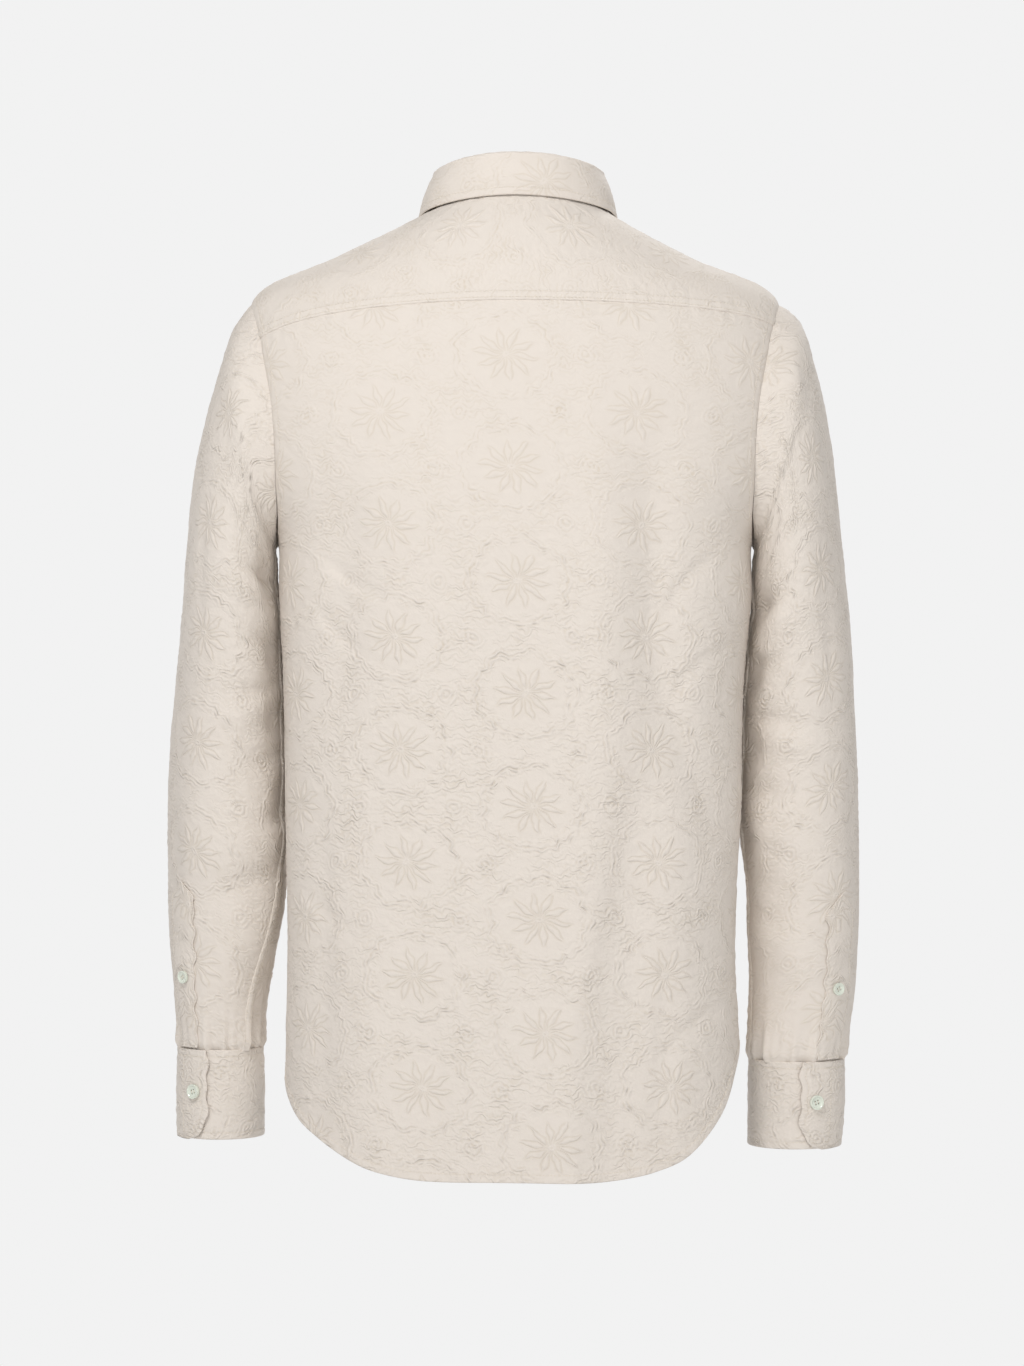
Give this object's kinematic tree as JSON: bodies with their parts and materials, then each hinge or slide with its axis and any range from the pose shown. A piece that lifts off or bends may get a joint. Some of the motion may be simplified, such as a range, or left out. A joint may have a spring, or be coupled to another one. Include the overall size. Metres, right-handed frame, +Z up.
{
  "type": "long-sleeved shirt",
  "caption": "Hollow long-sleeved button-up shirt of puffed flowered cloth, with a classic collar, back yoke, buttoned cuffs, sleeve plackets and a curved shirt-tail hem.",
  "frame": {"origin": "middle of the neck's base, between the two points where the neck meets the shoulders, where the wearer carries the shirt", "axes": "+Z up along the body, -Y out of the front where it buttons, +Y out of the back, +X to the wearer's left"},
  "size_m": [0.5519, 0.2451, 0.794],
  "materials": {
    "puffed_cloth": "matt off-white puffed cotton cloth",
    "shell_button": "pale pearly button, glossy"
  },
  "bodies": {
    "root": {"back": "puffed_cloth", "yoke": "puffed_cloth", "front_left": "puffed_cloth", "front_right": "puffed_cloth", "front_placket": "puffed_cloth", "collar_stand": "puffed_cloth", "collar_fall": "puffed_cloth", "sleeve_left": "puffed_cloth", "sleeve_right": "puffed_cloth", "sleeve_placket_left": "puffed_cloth", "sleeve_placket_right": "puffed_cloth", "cuff_left": "puffed_cloth", "cuff_right": "puffed_cloth", "collar_button": "shell_button", "front_button_1": "shell_button", "front_button_2": "shell_button", "front_button_3": "shell_button", "front_button_4": "shell_button", "front_button_5": "shell_button", "front_button_6": "shell_button", "cuff_button_left": "shell_button", "cuff_button_right": "shell_button", "sleeve_placket_button_left": "shell_button", "sleeve_placket_button_right": "shell_button"}
  },
  "joints": []
}
